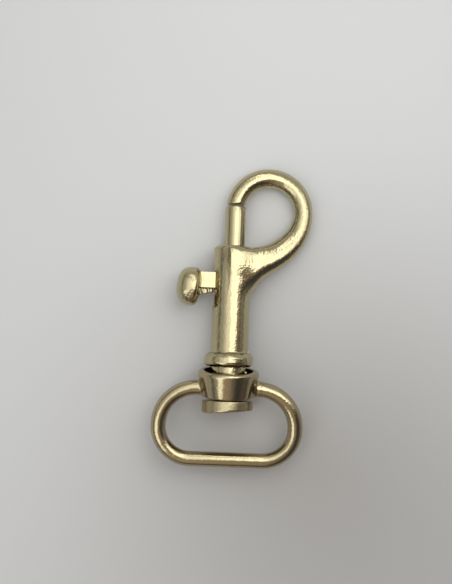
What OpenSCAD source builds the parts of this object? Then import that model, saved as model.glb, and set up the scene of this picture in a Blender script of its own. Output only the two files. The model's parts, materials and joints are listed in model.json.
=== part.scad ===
// Swivel bolt snap hook for 25 mm webbing, lying on a flat surface with its hook end low.
// Body stations run along the barrel: 0 at the flange's top face, positive towards the hook.
// Loop stations run along the hub: 0 in the middle of the hub's floor, positive towards the mouth.

/* [Webbing eye] */
// Clear width of the eye, the width of the webbing
eye_w = 25; // [22:0.5:32]
// Diameter of the eye's wire
eye_wire_d = 3.1; // [2.4:0.1:3.4]
// Distance from the arms' centre line to the bar's centre line
eye_depth = 14.85; // [14.7:0.05:20]
// Radius of the two corners at the bar, on the centre line
eye_bar_corner_r = 6.65; // [4:0.05:6.75]
// Radius of the two corners at the hub, on the centre line
eye_hub_corner_r = 7.9; // [6:0.1:8]
// Height of the arms' centre line above the middle of the hub's floor
eye_arm_up = 1.0; // [0.8:0.05:1.6]

/* [Swivel hub] */
// Outer diameter at the mouth
hub_mouth_d = 12.9; // [12.2:0.1:14]
// Outer diameter at the foot
hub_foot_d = 10.7; // [10:0.1:12]
// Height from foot to mouth
hub_h = 5.4; // [5:0.1:6.5]
// Diameter of the hollow
hub_hollow_d = 10; // [9.6:0.1:10.6]
// Thickness of the floor that the neck passes through
hub_floor_t = 1.3; // [1:0.1:2]
// Rounding of the mouth's outer edge
hub_rim_r = 0.9; // [0.2:0.05:1.1]
// Rounding of the foot's outer edge
hub_foot_r = 0.4; // [0.2:0.05:0.6]

/* [Barrel] */
// Outer diameter of the barrel
barrel_d = 7.7; // [7.2:0.1:8.6]
// Length of the barrel above the flange
barrel_len = 21.9; // [21:0.1:26]
// Rounding of the barrel's top edge
barrel_edge_r = 0.6; // [0.3:0.05:1]
// Diameter of the flange over the swivel
flange_d = 10.15; // [9.6:0.05:10.4]
// Height of the flange
flange_h = 2.8; // [2.4:0.1:3.2]
// Diameter of the neck that the swivel turns on
neck_d = 6.8; // [6.4:0.1:7.2]
// How far the bolt's axis lies from the barrel's, towards the hook
bolt_offset = 0.3; // [0:0.05:0.4]

/* [Hook arm] */
// Diameter of the round bar
bar_d = 3.9; // [3.4:0.1:4.4]
// Radius of the crown, on the bar's centre line
crown_r = 7.12; // [6.5:0.01:8.5]
// Height of the hook's end face above the crown's centre
tip_rise = 1.25; // [0.8:0.05:2]
// Radius of the bend below the crown, on the centre line
shoulder_r = 9.4; // [8.6:0.1:10]
// Angle of the bend below the crown
shoulder_a = 39; // [36:1:42]
// Depth at which the arm's centre line meets the barrel's axis, below the barrel's top
root_down = 3.9; // [3.6:0.1:4.4]
// Thickness of the arm where it joins the barrel
root_t = 7.0; // [5.6:0.1:7.2]
// Growth of the arm's outer side on its way to the barrel
arm_swell = 1.0; // [0:0.05:1.4]
// Reach of the fillet under the arm, down the barrel from the centre line
root_fillet = 9.1; // [7.5:0.1:10]

/* [Bolt] */
// Diameter of the bolt
bolt_d = 4.3; // [3.8:0.05:4.5]
// Clearance round the bolt in its bore
bolt_gap = 0.075; // [0.02:0.005:0.1]
// Length of bolt between the barrel and the hook's end, closed
bolt_out = 8.4; // [8:0.05:10]
// Gap between the bolt and the hook's end, closed
tip_gap = 0.45; // [0.2:0.05:0.6]
// Length of bolt behind the thumb stud
bolt_tail = 1.1; // [0.8:0.1:2]
// Rounding of the bolt's tip
bolt_tip_r = 0.5; // [0.2:0.05:0.8]

/* [Thumb stud] */
// Distance from the barrel's top to the slot's upper end
slot_down = 5.35; // [5:0.05:6]
// How far the bolt can be pulled back
bolt_travel = 3.5; // [3:0.05:4]
// Length of the shank along the barrel
shank_l = 3.4; // [2.8:0.05:3.6]
// Thickness of the shank across the slot
shank_t = 3.0; // [2.4:0.1:3.2]
// Clearance of the shank at each side of the slot
slot_gap = 0.1; // [0.05:0.01:0.2]
// Clearance of the shank at each end of its travel
stop_gap = 0.05; // [0.03:0.01:0.1]
// Diameter of the tenon pressed into the bolt
tenon_d = 2.04; // [1.6:0.02:2.4]
// How much larger the tenon is than its hole
press_d = 0.04; // [0.02:0.01:0.06]
// Distance from the barrel's axis to the button's widest section
button_out = 8.07; // [7.6:0.01:9.2]
// Thickness of the button's dome, from the widest section away from the barrel
button_dome_t = 3.25; // [2.6:0.05:3.6]
// Thickness of the button's back, from the widest section towards the barrel
button_back_t = 1.65; // [1.2:0.05:2]
// Length of the button, along the barrel
button_l = 8.0; // [7:0.1:8.6]
// Height of the button
button_h = 7.6; // [5:0.1:7.8]
// How far the button's middle lies below the shank's
button_drop = 1.4; // [0.8:0.05:1.7]
// Lean of the button towards the hook
button_lean = 5; // [0:1:7]

/* [Swivel rivet] */
// Diameter of the rivet's head
rivet_d = 10.6; // [9.8:0.05:10.8]
// Height of the head's lower face under its top, in the middle
rivet_h = 2.2; // [1.8:0.05:2.6]
// Slope of the head's lower face
rivet_slope = 4.2; // [0:0.1:5]
// Rounding of the head's upper edge
rivet_edge_r = 0.35; // [0.2:0.05:0.6]
// Depth of the shank's end below the flange's top face
rivet_end_down = 1.5; // [1:0.1:2.5]

/* [Spring] */
// Diameter of the spring's wire
spring_wire_d = 0.5; // [0.4:0.05:0.6]
// Outer diameter of the coil
spring_d = 3.9; // [3.4:0.05:4]
// Open turns between the two closed ends
spring_turns = 8; // [6:1:9]
// Gap between the spring and what it pushes on
spring_gap = 0.1; // [0.05:0.01:0.2]

/* [Swivel play] */
// Axial room between the flange and the hub's mouth
mouth_gap = 0.65; // [0.5:0.05:1.2]
// How much wider the hub's hole is than the neck
neck_play = 0.55; // [0.5:0.01:0.8]
// Angle of the webbing eye to the surface
loop_tilt = 4; // [3:0.5:4.5]

/* [Hidden] */
$fn = 96;

// Radius of the corners in turned profiles that carry no named rounding
small_r = 0.25;
// Points along one quarter of a rounded corner
round_steps = 5;
// Length by which a cutting tool runs past what it cuts
past = 1;

// Hub, in loop stations
hub_foot = -hub_floor_t/2;
hub_mouth = hub_foot + hub_h;
hub_hole_d = neck_d + neck_play;
eye_half_w = (eye_w + eye_wire_d)/2;

// Body stations of the flange and of the middle of the hub's floor
flange_low = -flange_h;
flange_flat = 0.2;
flange_r = (flange_h - flange_flat)/2;
floor_station = flange_low - mouth_gap - hub_mouth;

// Hook arm, in body coordinates with X towards the hook
bolt_tip = barrel_len + bolt_out;
tip_station = bolt_tip + tip_gap;
crown_c = [bolt_offset + sqrt(crown_r*crown_r - tip_rise*tip_rise), tip_station - tip_rise];
shoulder_c = [crown_c[0] + crown_r - shoulder_r, crown_c[1]];
shoulder_end = shoulder_c + shoulder_r*[cos(shoulder_a), -sin(shoulder_a)];
to_root = [0, barrel_len - root_down] - shoulder_end;
to_centre = [-cos(shoulder_a), sin(shoulder_a)];
root_r = (to_root*to_root)/(2*(to_root*to_centre));
root_c = shoulder_end + root_r*to_centre;
root_a = acos(-root_c[0]/root_r) - shoulder_a;
arm_rings = 26;
arm_sides = 20;
crown_sweep = 176;

// Flares of the arm, as shares of its length from the crown to the barrel's axis: where the swell and
// the broadening end, where the lower fillet begins, and how late each fillet rises
swell_end = 0.7;
broad_end = 0.9;
fillet_start = 0.41;
fillet_late = 4.2;
top_late = 1.2;

// Resting pose: the hub's rim and the edge of the barrel's top lie on the surface, unless the crown
// reaches it first
crown_top = crown_c[1] + crown_r;
rim_in = hub_mouth_d/2 - hub_rim_r;
rim_drop = rim_in*cos(loop_tilt) - (hub_mouth - hub_rim_r)*sin(loop_tilt) + hub_rim_r;
edge_in = barrel_d/2 - barrel_edge_r;
edge_up = barrel_len - barrel_edge_r - floor_station;
edge_tilt = asin((rim_drop - barrel_edge_r)/norm([edge_in, edge_up])) - atan(edge_in/edge_up);
crown_tilt = asin((rim_drop - bar_d/2)/(crown_top - floor_station));
body_tilt = min(edge_tilt, crown_tilt);

// The body then rolls about its barrel until the crown's side lies on the surface too
crown_room = rim_drop - bar_d/2 - (crown_c[1] - floor_station)*sin(body_tilt);
crown_fall = crown_r*sin(body_tilt);
roll_room = crown_room*crown_room - crown_fall*crown_fall;
roll_root = sqrt(pow(crown_room*crown_c[0], 2) - (pow(crown_c[0], 2) - pow(crown_r, 2))*roll_room);
roll_share = roll_room/(crown_room*crown_c[0] + roll_root);
body_roll = max(0, asin(roll_share/cos(body_tilt)));

// Rivet, whose head stays clear of the leaning hub
rivet_clear = 0.1;
rivet_top = floor_station + hub_foot - hub_foot_d/2*sin(loop_tilt + body_tilt) - rivet_clear;
rivet_low = rivet_top - rivet_h;

// Bore, slot and stud
bore_d = bolt_d + 2*bolt_gap;
slot_top = barrel_len - slot_down;
shank_top = slot_top - stop_gap;
shank_low = shank_top - shank_l;
slot_low = shank_low - bolt_travel - 2*stop_gap;
shank_mid = (shank_top + shank_low)/2;
bolt_low = shank_low - bolt_tail;
bolt_face = bolt_d/2 - bolt_offset;
shank_seat = 0.05;
shank_in_button = button_back_t/3;
tenon_l = 0.75*bolt_d;

// Button: rounder than a box, fuller than an ellipsoid
button_full = 0.86;
button_rows = 12;
button_cols = 24;

// Web under the shank, where it meets the button
web_t = 1.8;
web_drop = 1.5;
web_near_drop = 0.6;
web_clear = 0.25;
web_seat = 0.5;

// Spring between the rivet and the bolt
spring_low = -rivet_end_down + spring_gap;
spring_top = bolt_low - spring_gap;
spring_steps = 18;
spring_sides = 6;
closed_turns = 1;
closed_pitch = 1.15*spring_wire_d;

// Middle of the outer box, which becomes the origin
box_right = (crown_c[0] + crown_r)*cos(body_roll) + bar_d/2;
box_left = -eye_half_w - eye_wire_d/2;
crown_lean = crown_c[0]*sin(body_roll)*sin(body_tilt);
box_far = (crown_top - floor_station)*cos(body_tilt) - crown_lean + bar_d/2;
box_near = -(eye_depth - eye_arm_up)*cos(loop_tilt) - eye_wire_d/2;
box_mid = [(box_right + box_left)/2, (box_far + box_near)/2];

metal = [0.80, 0.74, 0.50];
spring_steel = [0.62, 0.62, 0.60];

// Points of an arc from angle a0 to a1
function arc(c, r, a0, a1, n = round_steps) =
    [for (i = [0:n]) c + r*[cos(a0 + (a1 - a0)*i/n), sin(a0 + (a1 - a0)*i/n)]];

// Smooth step from 0 at a to 1 at b
function step_up(a, b, u) = let (t = min(1, max(0, (u - a)/(b - a)))) t*t*(3 - 2*t);

// Turned shape whose axis runs along +Y; the profile is in [radius, station]
module turned(profile) {
    rotate([-90, 0, 0]) rotate_extrude() polygon(profile);
}

// Closed mesh over a list of rings, each with the same number of points. Seen along the list,
// each ring runs anticlockwise.
module skin(rings) {
    n = len(rings[0]);
    last = len(rings) - 1;
    side = [
        for (i = [0:last - 1], k = [0:n - 1])
            let (a = i*n + k, b = i*n + (k + 1)%n)
            each [[a, b, b + n], [a, b + n, a + n]]
    ];
    ends = [[for (k = [n - 1:-1:0]) k], [for (k = [0:n - 1]) last*n + k]];
    polyhedron([for (r = rings) each r], concat(side, ends));
}

// The body lies with its hook end on the surface, rolled a little towards the hook arm
module lay_body() {
    translate([-box_mid[0], -box_mid[1], rim_drop])
        rotate([-body_tilt, 0, 0]) rotate([0, body_roll, 0])
            translate([0, -floor_station, 0]) children();
}

// The loop leans the other way, as far as the play round the neck allows
module lay_loop() {
    translate([-box_mid[0], -box_mid[1], rim_drop])
        rotate([loop_tilt, 0, 0]) children();
}

// One section of the arm below the crown, u from 0 at the crown to 1 at the barrel's axis
function arm_ring(u) =
    let (
        bend = shoulder_r*shoulder_a*PI/180,
        run = u*(bend + root_r*root_a*PI/180),
        on_bend = run < bend,
        a = on_bend ? run/shoulder_r*180/PI : shoulder_a + (run - bend)/root_r*180/PI,
        c = on_bend ? shoulder_c : root_c,
        r = on_bend ? shoulder_r : root_r,
        swell = arm_swell*step_up(0, swell_end, u),
        fillet = (root_fillet - bar_d/2 - arm_swell)*pow(step_up(fillet_start, 1, u), fillet_late),
        inner = bar_d/2 + (root_down - bar_d/2)*pow(u, top_late),
        outer = bar_d/2 + swell + fillet,
        half_t = bar_d/2 + (root_t - bar_d)/2*step_up(0, broad_end, u)
    )
    [
        for (k = [0:arm_sides - 1])
            let (f = 360*k/arm_sides, w = cos(f) > 0 ? outer : inner, d = r + w*cos(f))
            [c[0] + d*cos(a), c[1] - d*sin(a), -half_t*sin(f)]
    ];

module hook_arm() {
    difference() {
        translate([crown_c[0], crown_c[1], 0])
            rotate_extrude(angle = crown_sweep) translate([crown_r, 0]) circle(d = bar_d);
        translate([bolt_offset - bar_d, tip_station - bar_d, -bar_d])
            cube([2*bar_d, bar_d, 2*bar_d]);
    }
    skin([for (i = [0:arm_rings]) arm_ring(i/arm_rings)]);
}

module barrel_solid() {
    turned(concat(
        [[0, rivet_top]],
        [[neck_d/2, rivet_top]],
        [[neck_d/2, flange_low]],
        arc([flange_d/2 - flange_r, flange_low + flange_r], flange_r, -90, 0),
        arc([flange_d/2 - flange_r, -flange_r], flange_r, 0, 90),
        [[barrel_d/2, 0]],
        arc([barrel_d/2 - barrel_edge_r, barrel_len - barrel_edge_r], barrel_edge_r, 0, 90),
        [[0, barrel_len]]
    ));
}

module hook_body() {
    color(metal) lay_body() difference() {
        union() {
            barrel_solid();
            hook_arm();
        }
        translate([bolt_offset, rivet_top - past, 0]) rotate([-90, 0, 0])
            cylinder(d = bore_d, h = barrel_len - rivet_top + 2*past);
        translate([-barrel_d, slot_low, -shank_t/2 - slot_gap])
            cube([barrel_d + bolt_offset, slot_top - slot_low, shank_t + 2*slot_gap]);
    }
}

module bolt() {
    color(metal) lay_body() difference() {
        translate([bolt_offset, 0, 0]) turned(concat(
            [[0, bolt_low]],
            arc([bolt_d/2 - small_r, bolt_low + small_r], small_r, -90, 0),
            arc([bolt_d/2 - bolt_tip_r, bolt_tip - bolt_tip_r], bolt_tip_r, 0, 90),
            [[0, bolt_tip]]
        ));
        translate([-bolt_d, shank_mid, 0]) rotate([0, 90, 0])
            cylinder(d = tenon_d - press_d, h = 2*bolt_d);
    }
}

function fuller(v) = sign(v)*pow(abs(v), button_full);

module button() {
    half = [button_l/2, button_h/2];
    rings = [
        for (i = [1:button_rows - 1])
            let (p = -90 + 180*i/button_rows, deep = p < 0 ? button_dome_t : button_back_t)
            [
                for (k = [0:button_cols - 1])
                    let (q = 360*k/button_cols)
                    [
                        deep*fuller(sin(p)),
                        half[0]*fuller(cos(p))*fuller(cos(q)),
                        -half[1]*fuller(cos(p))*fuller(sin(q))
                    ]
            ]
    ];
    skin(rings);
}

module thumb_stud() {
    shank_in = bolt_face + shank_seat;
    shank_end = button_out - shank_in_button;
    color(metal) lay_body() {
        translate([-shank_end, shank_low, -shank_t/2])
            cube([shank_end - shank_in, shank_l, shank_t]);
        translate([-shank_in, shank_mid, 0]) rotate([0, 90, 0])
            cylinder(d = tenon_d, h = tenon_l);
        translate([-button_out, shank_mid - button_drop, 0]) rotate([0, 0, -button_lean]) button();
        translate([0, 0, -web_t/2]) linear_extrude(web_t) polygon([
            [-barrel_d/2 - web_clear, shank_low + web_seat],
            [-barrel_d/2 - web_clear, shank_low - web_near_drop],
            [-shank_end, shank_low - web_drop],
            [-shank_end, shank_low + web_seat]
        ]);
    }
}

// Height of the coil's centre line after a number of turns
function coil_rise(turn) =
    let (
        pitch = (spring_top - spring_low - spring_wire_d - 2*closed_turns*closed_pitch)/spring_turns,
        open = min(spring_turns, max(0, turn - closed_turns))
    )
    spring_low + spring_wire_d/2 + open*pitch + (turn - open)*closed_pitch;

module bolt_spring() {
    total = spring_turns + 2*closed_turns;
    coil_r = (spring_d - spring_wire_d)/2;
    rings = [
        for (i = [0:total*spring_steps])
            let (a = 360*i/spring_steps, h = coil_rise(i/spring_steps))
            [
                for (k = [0:spring_sides - 1])
                    let (f = 360*k/spring_sides, d = coil_r + spring_wire_d/2*cos(f))
                    [bolt_offset + d*cos(a), h - spring_wire_d/2*sin(f), d*sin(a)]
            ]
    ];
    color(spring_steel) lay_body() skin(rings);
}

module swivel_rivet() {
    color(metal) lay_body() {
        intersection() {
            turned(concat(
                arc([rivet_d/2 - rivet_edge_r, rivet_top - rivet_edge_r], rivet_edge_r, 0, 90),
                [[0, rivet_top]],
                [[0, rivet_low - past]],
                [[rivet_d/2, rivet_low - past]]
            ));
            translate([0, rivet_low, 0]) rotate([0, 0, rivet_slope])
                translate([-rivet_d, 0, -rivet_d]) cube([2*rivet_d, 2*rivet_h, 2*rivet_d]);
        }
        translate([bolt_offset, rivet_top, 0]) rotate([-90, 0, 0])
            cylinder(d = bore_d + press_d, h = -rivet_end_down - rivet_top);
    }
}

module swivel_hub() {
    turned(concat(
        [[0, hub_foot]],
        arc([hub_foot_d/2 - hub_foot_r, hub_foot + hub_foot_r], hub_foot_r, -90, 0),
        arc([hub_mouth_d/2 - hub_rim_r, hub_mouth - hub_rim_r], hub_rim_r, 0, 90),
        [[0, hub_mouth]]
    ));
}

// Half of the eye on the side x = +1 or -1
module eye_half(x) {
    corner_x = eye_half_w - eye_hub_corner_r;
    bar_x = eye_half_w - eye_bar_corner_r;
    bar_y = eye_arm_up - eye_depth;
    side_l = eye_depth - eye_hub_corner_r - eye_bar_corner_r;
    mirror([x < 0 ? 1 : 0, 0, 0]) {
        translate([0, eye_arm_up, 0]) rotate([0, 90, 0])
            cylinder(d = eye_wire_d, h = corner_x);
        translate([corner_x, eye_arm_up - eye_hub_corner_r, 0])
            rotate_extrude(angle = 90) translate([eye_hub_corner_r, 0]) circle(d = eye_wire_d);
        translate([eye_half_w, bar_y + eye_bar_corner_r, 0]) rotate([-90, 0, 0])
            cylinder(d = eye_wire_d, h = side_l);
        translate([bar_x, bar_y + eye_bar_corner_r, 0]) rotate([0, 0, -90])
            rotate_extrude(angle = 90) translate([eye_bar_corner_r, 0]) circle(d = eye_wire_d);
        translate([0, bar_y, 0]) rotate([0, 90, 0])
            cylinder(d = eye_wire_d, h = bar_x);
    }
}

module swivel_loop() {
    color(metal) lay_loop() difference() {
        union() {
            swivel_hub();
            eye_half(1);
            eye_half(-1);
        }
        translate([0, hub_foot + hub_floor_t, 0]) rotate([-90, 0, 0])
            cylinder(d = hub_hollow_d, h = hub_h);
        translate([0, hub_foot - past, 0]) rotate([-90, 0, 0])
            cylinder(d = hub_hole_d, h = hub_h);
    }
}

hook_body();
bolt();
thumb_stud();
bolt_spring();
swivel_rivet();
swivel_loop();
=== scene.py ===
import json
import math

import bpy
import numpy as np
from mathutils import Matrix, Vector


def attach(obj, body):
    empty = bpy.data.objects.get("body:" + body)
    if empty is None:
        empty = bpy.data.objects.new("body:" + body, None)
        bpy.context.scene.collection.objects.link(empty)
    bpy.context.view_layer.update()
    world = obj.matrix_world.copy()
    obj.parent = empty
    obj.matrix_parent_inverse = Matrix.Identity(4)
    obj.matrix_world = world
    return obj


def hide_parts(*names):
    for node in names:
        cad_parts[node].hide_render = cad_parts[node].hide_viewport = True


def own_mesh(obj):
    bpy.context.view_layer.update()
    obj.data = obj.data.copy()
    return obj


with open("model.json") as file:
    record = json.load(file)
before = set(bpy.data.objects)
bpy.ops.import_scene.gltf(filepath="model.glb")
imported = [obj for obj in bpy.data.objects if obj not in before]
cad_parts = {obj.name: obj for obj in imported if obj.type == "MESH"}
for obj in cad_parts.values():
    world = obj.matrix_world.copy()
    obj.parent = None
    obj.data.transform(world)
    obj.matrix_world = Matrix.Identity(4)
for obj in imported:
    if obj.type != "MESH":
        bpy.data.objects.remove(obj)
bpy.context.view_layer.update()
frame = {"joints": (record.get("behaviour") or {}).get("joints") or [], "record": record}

# Camera
# It looks straight down from 190 mm, a little to the left of the hook's middle and turned a little
# against it, as the photo was taken.
CAMERA_PLACE = (-0.00149, 0.00505, 0.190)
CAMERA_TURN = math.radians(2.1)
CAMERA_LENS = 55.4
SENSOR_WIDTH = 36
CLIP_START = 0.005

camera_data = bpy.data.cameras.new("camera")
camera_data.lens = CAMERA_LENS
camera_data.sensor_width = SENSOR_WIDTH
camera_data.clip_start = CLIP_START
camera = bpy.data.objects.new("camera", camera_data)
camera.location = CAMERA_PLACE
camera.rotation_euler = (0, 0, CAMERA_TURN)
bpy.context.scene.collection.objects.link(camera)
bpy.context.scene.camera = camera
bpy.context.scene.view_settings.view_transform = "Standard"

# Table
# A plain pale matt sheet that the hook lies on. It isn't part of the object. Its colour carries a painted
# shade: its tone falls off gently round a place at the near right, as the light on it does in the photo.
TABLE_HALF = 1.5
TABLE_PALE = (0.715, 0.735, 0.75, 1)
TABLE_PAINTED_SHADE = (0.466, 0.464, 0.456, 1)
TABLE_ROUGH, TABLE_SHINE = 0.8, 0.1
PAINTED_SHADE_PLACE = (0.020, -0.032, 0)
# Distances from that place over which the painted shade goes from dim to pale
PAINTED_SHADE_FADE = (-0.015, 0.080)
# Layout of a node tree in the editor: nodes in a row, and the steps from node to node and row to row
NODES_IN_ROW, NODE_STEP, ROW_STEP = 10, 240, -340


def level_sheet(name, half, faces_up=True):
    """Square sheet round the origin."""
    mesh = bpy.data.meshes.new(name)
    corners = [(-half, -half, 0), (half, -half, 0), (half, half, 0), (-half, half, 0)]
    mesh.from_pydata(corners, [], [(0, 1, 2, 3) if faces_up else (0, 3, 2, 1)])
    sheet = bpy.data.objects.new(name, mesh)
    bpy.context.scene.collection.objects.link(sheet)
    return sheet


def new_material(name):
    """A material and its node tree."""
    material = bpy.data.materials.new(name)
    material.use_nodes = True
    return material, material.node_tree


def add_node(tree, kind, **settings):
    """A new shader node; settings are its own properties or, by name, its inputs."""
    row, place = divmod(len(tree.nodes), NODES_IN_ROW)
    node = tree.nodes.new(kind)
    node.location = (place * NODE_STEP, row * ROW_STEP)
    for key, value in settings.items():
        if hasattr(node, key):
            setattr(node, key, value)
        else:
            node.inputs[key.replace("_", " ")].default_value = value
    return node


def feed(tree, socket, value):
    """Set a socket to a plain value, or link another node's output to it."""
    if isinstance(value, bpy.types.NodeSocket):
        tree.links.new(value, socket)
    else:
        socket.default_value = value


def ramp(tree, value, start, end, shape="SMOOTHSTEP"):
    """0 up to the start value, 1 from the end value on, and a change between them."""
    node = add_node(tree, "ShaderNodeMapRange", interpolation_type=shape, From_Min=start, From_Max=end)
    feed(tree, node.inputs["Value"], value)
    return node.outputs["Result"]


def mix_colours(tree, share, first, second):
    """Mix of two colours, each a plain one or another node's output."""
    node = add_node(tree, "ShaderNodeMix", data_type="RGBA")
    feed(tree, node.inputs["Factor"], share)
    feed(tree, node.inputs["A"], first)
    feed(tree, node.inputs["B"], second)
    return node.outputs["Result"]


table = level_sheet("table", TABLE_HALF)
table_finish, sheet = new_material("table_sheet")
sheet_shader = sheet.nodes["Principled BSDF"]
sheet_shader.inputs["Roughness"].default_value = TABLE_ROUGH
sheet_shader.inputs["Specular IOR Level"].default_value = TABLE_SHINE
sheet_place = add_node(sheet, "ShaderNodeTexCoord")
sheet_reach = add_node(sheet, "ShaderNodeVectorMath", operation="DISTANCE")
sheet_reach.inputs[1].default_value = PAINTED_SHADE_PLACE
sheet.links.new(sheet_place.outputs["Object"], sheet_reach.inputs[0])
# Painted shade: the table's colour is darker round a place at the near right
painted_shade_fade = ramp(sheet, sheet_reach.outputs["Value"], *PAINTED_SHADE_FADE)
sheet.links.new(mix_colours(sheet, painted_shade_fade, TABLE_PAINTED_SHADE, TABLE_PALE), sheet_shader.inputs["Base Color"])
table.data.materials.append(table_finish)

# Light
# A sheet of soft light 150 mm over the table, bright in parts and dark past an edge at the near right,
# and a dim dome round it. The sheet's tones are laid out in mm from above the hook's middle. The camera
# sees neither of them, only a plain pale background.
MM_IN_M = 1000.0
SHEET_UP = 0.150
SHEET_HALF = 0.36
SHEET_FADE = (0.27, 0.35)
LIGHT_TINT = (1.0, 0.985, 0.96, 1)
DOME_DARK = (0.065, 0.052, 0.045, 1)
DOME_PALE = (0.53, 0.52, 0.50, 1)
# The dome turns from dark to pale towards the far left: that way, and the leans along it between which
# it changes
DOME_WAY = (-0.53, 0.85)
DOME_CHANGE = (-1.2, 0.3)
# A dark band low on the dome's left: middle, half height and softness, as sines of the elevation, then
# the leans to the right between which it sets in, and the share of the light that it takes away
DOME_BAND = (0.34, 0.12, 0.08)
DOME_BAND_START = (-0.3, -0.7)
DOME_BAND_DARK = 0.62
BACKGROUND_PALE = 0.75
# The unlit sheet has the dome's tones, with the level distance in mm that stands for a full lean
SKY_REACH = 400.0
# Each bright area: middle and half size in mm, turn in degrees, softness along and beside in mm, and
# brightness
BRIGHT_AREAS = (
    ((35, 130), (25, 75), 10, (14, 20), 2.5),
    ((-8, 205), (42, 32), -8, (20, 20), 2.4),
    ((56, 36), (66, 42), 14, (36, 18), 2.5),
    ((195, 74), (100, 20), 6, (60, 20), 1.8),
    ((142, 120), (44, 28), 0, (24, 24), 1.6),
    ((-20, 30), (70, 100), 0, (150, 70), 1.55),
    ((-92, -92), (72, 56), 30, (40, 30), 1.75),
)
# The dark edge: two straight lines through one corner, each with its turn in degrees
SHADE_CORNER = (-6, -27)
SHADE_TURNS = (60, 19)
SHADE_SOFT = 8
SHADE_NEAR = (0.47, 0.385, 0.32, 1)
SHADE_FAR = (0.07, 0.07, 0.082, 1)
# Where the shade turns from the first tone to the second: mm to the right, and mm past its edge
SHADE_CHANGE = (-25, 115)
SHADE_DEEP = (-5, 60)


def calculate(tree, operation, *values):
    """Result of one Math node; each value is a number or another node's output."""
    node = add_node(tree, "ShaderNodeMath", operation=operation)
    for socket, value in zip(node.inputs, values):
        feed(tree, socket, value)
    return node.outputs[0]


def soft_area(tree, x, y, middle, half_size, turn, softness, brightness):
    """Brightness of one turned rectangular area with soft edges."""
    cos_turn, sin_turn = math.cos(math.radians(turn)), math.sin(math.radians(turn))
    right = calculate(tree, "SUBTRACT", x, middle[0])
    ahead = calculate(tree, "SUBTRACT", y, middle[1])
    along = calculate(tree, "MULTIPLY_ADD", right, cos_turn, calculate(tree, "MULTIPLY", ahead, sin_turn))
    beside = calculate(tree, "MULTIPLY_ADD", ahead, cos_turn, calculate(tree, "MULTIPLY", right, -sin_turn))
    masks = [
        ramp(tree, calculate(tree, "ABSOLUTE", value), size + soft / 2, size - soft / 2)
        for value, size, soft in zip((along, beside), half_size, softness)
    ]
    return calculate(tree, "MULTIPLY", calculate(tree, "MULTIPLY", *masks), brightness)


def past_line(tree, x, y, corner, turn):
    """Distance to the right of a straight line through a corner and below it."""
    sin_turn, cos_turn = math.sin(math.radians(turn)), math.cos(math.radians(turn))
    right = calculate(tree, "MULTIPLY", calculate(tree, "SUBTRACT", x, corner[0]), sin_turn)
    below = calculate(tree, "MULTIPLY", calculate(tree, "SUBTRACT", y, corner[1]), -cos_turn)
    return calculate(tree, "ADD", right, below)


def dome_colour(tree, x, y):
    """The dome's tone, from the level parts of a direction."""
    lean = calculate(tree, "MULTIPLY_ADD", y, DOME_WAY[1], calculate(tree, "MULTIPLY", x, DOME_WAY[0]))
    return mix_colours(tree, ramp(tree, lean, *DOME_CHANGE), DOME_DARK, DOME_PALE)


room = bpy.data.worlds.new("studio")
room.use_nodes = True
dome = room.node_tree
dome_way = add_node(dome, "ShaderNodeTexCoord")
dome_split = add_node(dome, "ShaderNodeSeparateXYZ")
dome.links.new(dome_way.outputs["Generated"], dome_split.inputs[0])
dome_x, dome_y, dome_up = dome_split.outputs
dome_light = dome.nodes["Background"]
dome.links.new(dome_colour(dome, dome_x, dome_y), dome_light.inputs["Color"])
band_middle, band_half, band_soft = DOME_BAND
band_off = calculate(dome, "ABSOLUTE", calculate(dome, "SUBTRACT", dome_up, band_middle))
band = calculate(
    dome,
    "MULTIPLY",
    ramp(dome, band_off, band_half + band_soft / 2, band_half - band_soft / 2),
    ramp(dome, dome_x, *DOME_BAND_START),
)
dome.links.new(calculate(dome, "MULTIPLY_ADD", band, -DOME_BAND_DARK, 1.0), dome_light.inputs["Strength"])
dome_behind = add_node(dome, "ShaderNodeBackground", Strength=BACKGROUND_PALE)
dome_seen = add_node(dome, "ShaderNodeLightPath")
dome_choice = add_node(dome, "ShaderNodeMixShader")
dome.links.new(dome_seen.outputs["Is Camera Ray"], dome_choice.inputs["Fac"])
dome.links.new(dome_light.outputs[0], dome_choice.inputs[1])
dome.links.new(dome_behind.outputs[0], dome_choice.inputs[2])
dome.links.new(dome_choice.outputs[0], dome.nodes["World Output"].inputs["Surface"])
bpy.context.scene.world = room

light_sheet = level_sheet("light_sheet", SHEET_HALF, faces_up=False)
light_sheet.location = (0, 0, SHEET_UP)
light_sheet.visible_camera = False
glowing, lit = new_material("light_sheet")
lit.nodes.remove(lit.nodes["Principled BSDF"])
lit_place = add_node(lit, "ShaderNodeTexCoord")
lit_split = add_node(lit, "ShaderNodeSeparateXYZ")
lit.links.new(lit_place.outputs["Object"], lit_split.inputs[0])
lit_x = calculate(lit, "MULTIPLY", lit_split.outputs["X"], MM_IN_M)
lit_y = calculate(lit, "MULTIPLY", lit_split.outputs["Y"], MM_IN_M)
past_edge = calculate(lit, "MINIMUM", *[past_line(lit, lit_x, lit_y, SHADE_CORNER, t) for t in SHADE_TURNS])
shade = ramp(lit, past_edge, -SHADE_SOFT / 2, SHADE_SOFT / 2)
glow = 0.0
for area in BRIGHT_AREAS:
    glow = calculate(lit, "MAXIMUM", glow, soft_area(lit, lit_x, lit_y, *area))
glow = calculate(lit, "MULTIPLY", glow, calculate(lit, "SUBTRACT", 1.0, shade))
shade_deep = calculate(lit, "MULTIPLY", ramp(lit, lit_x, *SHADE_CHANGE), ramp(lit, past_edge, *SHADE_DEEP))
shade_tone = mix_colours(lit, shade_deep, SHADE_NEAR, SHADE_FAR)
sky_x = calculate(lit, "DIVIDE", lit_x, SKY_REACH)
sky_y = calculate(lit, "DIVIDE", lit_y, SKY_REACH)
unlit_tone = mix_colours(lit, shade, dome_colour(lit, sky_x, sky_y), shade_tone)
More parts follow.
